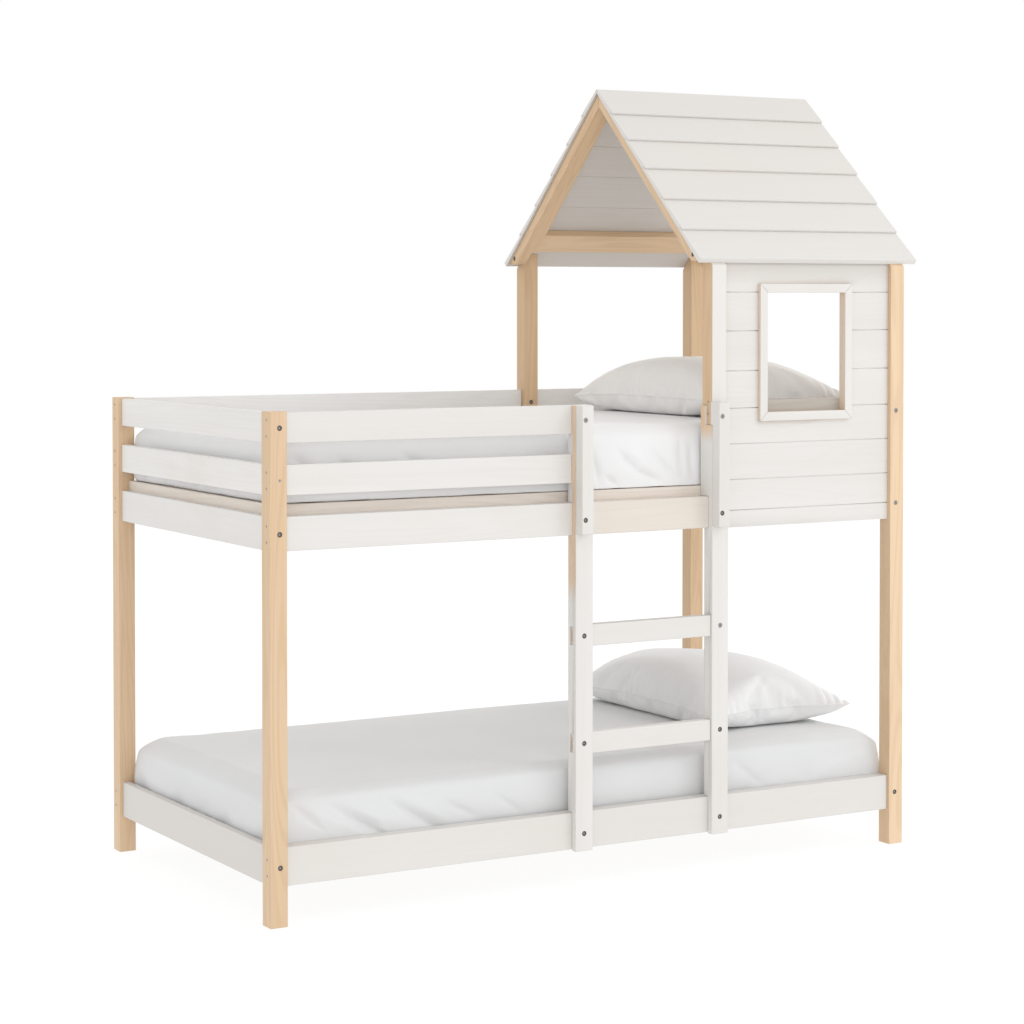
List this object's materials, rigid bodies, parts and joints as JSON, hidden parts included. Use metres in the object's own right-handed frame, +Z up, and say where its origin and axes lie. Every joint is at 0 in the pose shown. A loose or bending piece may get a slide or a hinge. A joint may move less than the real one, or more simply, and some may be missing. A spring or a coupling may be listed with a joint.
{
  "type": "house bunk bed",
  "caption": "Wooden house bunk bed on square posts: slat bases inside rails and guard boards, a bolted ladder, a gabled boarded roof and windowed wall over the head end, mattresses and pillows.",
  "frame": {"origin": "middle of the footprint's bounding box, on the floor under the four corner posts", "axes": "+Z up; +X along the bed from the foot end to the head end, where the house is; +Y from the ladder side to the back"},
  "size_m": [2.124, 1.155, 2.2664],
  "materials": {
    "white_paint": "white paint, satin, with the grain just showing",
    "pine": "clear matt lacquer over pale pine",
    "bedding": "plain woven white cotton covers"
  },
  "bodies": {
    "frame": {"guard_back_middle": "white_paint", "guard_back_top": "white_paint", "guard_foot_middle": "white_paint", "guard_foot_top": "white_paint", "guard_front_middle": "white_paint", "guard_front_top": "white_paint", "guard_head_middle": "white_paint", "guard_head_top": "white_paint", "guard_house_middle": "white_paint", "guard_house_top": "white_paint", "house_post_back": "pine", "house_post_front": "pine", "ladder_rung_lower": "white_paint", "ladder_rung_upper": "white_paint", "ladder_upright_left": "white_paint", "ladder_upright_right": "white_paint", "lower_rail_back": "white_paint", "lower_rail_foot": "white_paint", "lower_rail_front": "white_paint", "lower_rail_head": "white_paint", "post_foot_back": "pine", "post_foot_front": "pine", "post_head_back": "pine", "post_head_front": "pine", "purlin_back": "pine", "purlin_front": "pine", "rafter_gable_back": "pine", "rafter_gable_front": "pine", "rafter_head_back": "pine", "rafter_head_front": "pine", "roof_board_back_1": "white_paint", "roof_board_back_2": "white_paint", "roof_board_back_3": "white_paint", "roof_board_back_4": "white_paint", "roof_board_back_5": "white_paint", "roof_board_back_6": "white_paint", "roof_board_front_1": "white_paint", "roof_board_front_2": "white_paint", "roof_board_front_3": "white_paint", "roof_board_front_4": "white_paint", "roof_board_front_5": "white_paint", "roof_board_front_6": "white_paint", "slat_base_lower": "pine", "slat_base_upper": "pine", "splice_batten_left": "white_paint", "splice_batten_right": "white_paint", "upper_rail_back": "white_paint", "upper_rail_foot": "white_paint", "upper_rail_front": "white_paint", "upper_rail_head": "white_paint", "wall_panel": "white_paint", "wall_rail": "pine", "window_frame_bottom": "white_paint", "window_frame_left": "white_paint", "window_frame_right": "white_paint", "window_frame_top": "white_paint"},
    "lower_mattress": {"mattress_lower": "bedding"},
    "lower_pillow": {"pillow_lower": "bedding"},
    "upper_mattress": {"mattress_upper": "bedding"},
    "upper_pillow": {"pillow_upper": "bedding"}
  },
  "joints": [
    {"name": "lower_mattress_lift", "type": "slide", "parent": "frame", "child": "lower_mattress", "axis": [0, 0, 1], "range_m": [0, 0.15]},
    {"name": "lower_pillow_lift", "type": "slide", "parent": "lower_mattress", "child": "lower_pillow", "axis": [0, 0, 1], "range_m": [0, 0.15]},
    {"name": "upper_mattress_lift", "type": "slide", "parent": "frame", "child": "upper_mattress", "axis": [0, 0, 1], "range_m": [0, 0.25]},
    {"name": "upper_pillow_lift", "type": "slide", "parent": "upper_mattress", "child": "upper_pillow", "axis": [0, 0, 1], "range_m": [0, 0.15]}
  ]
}
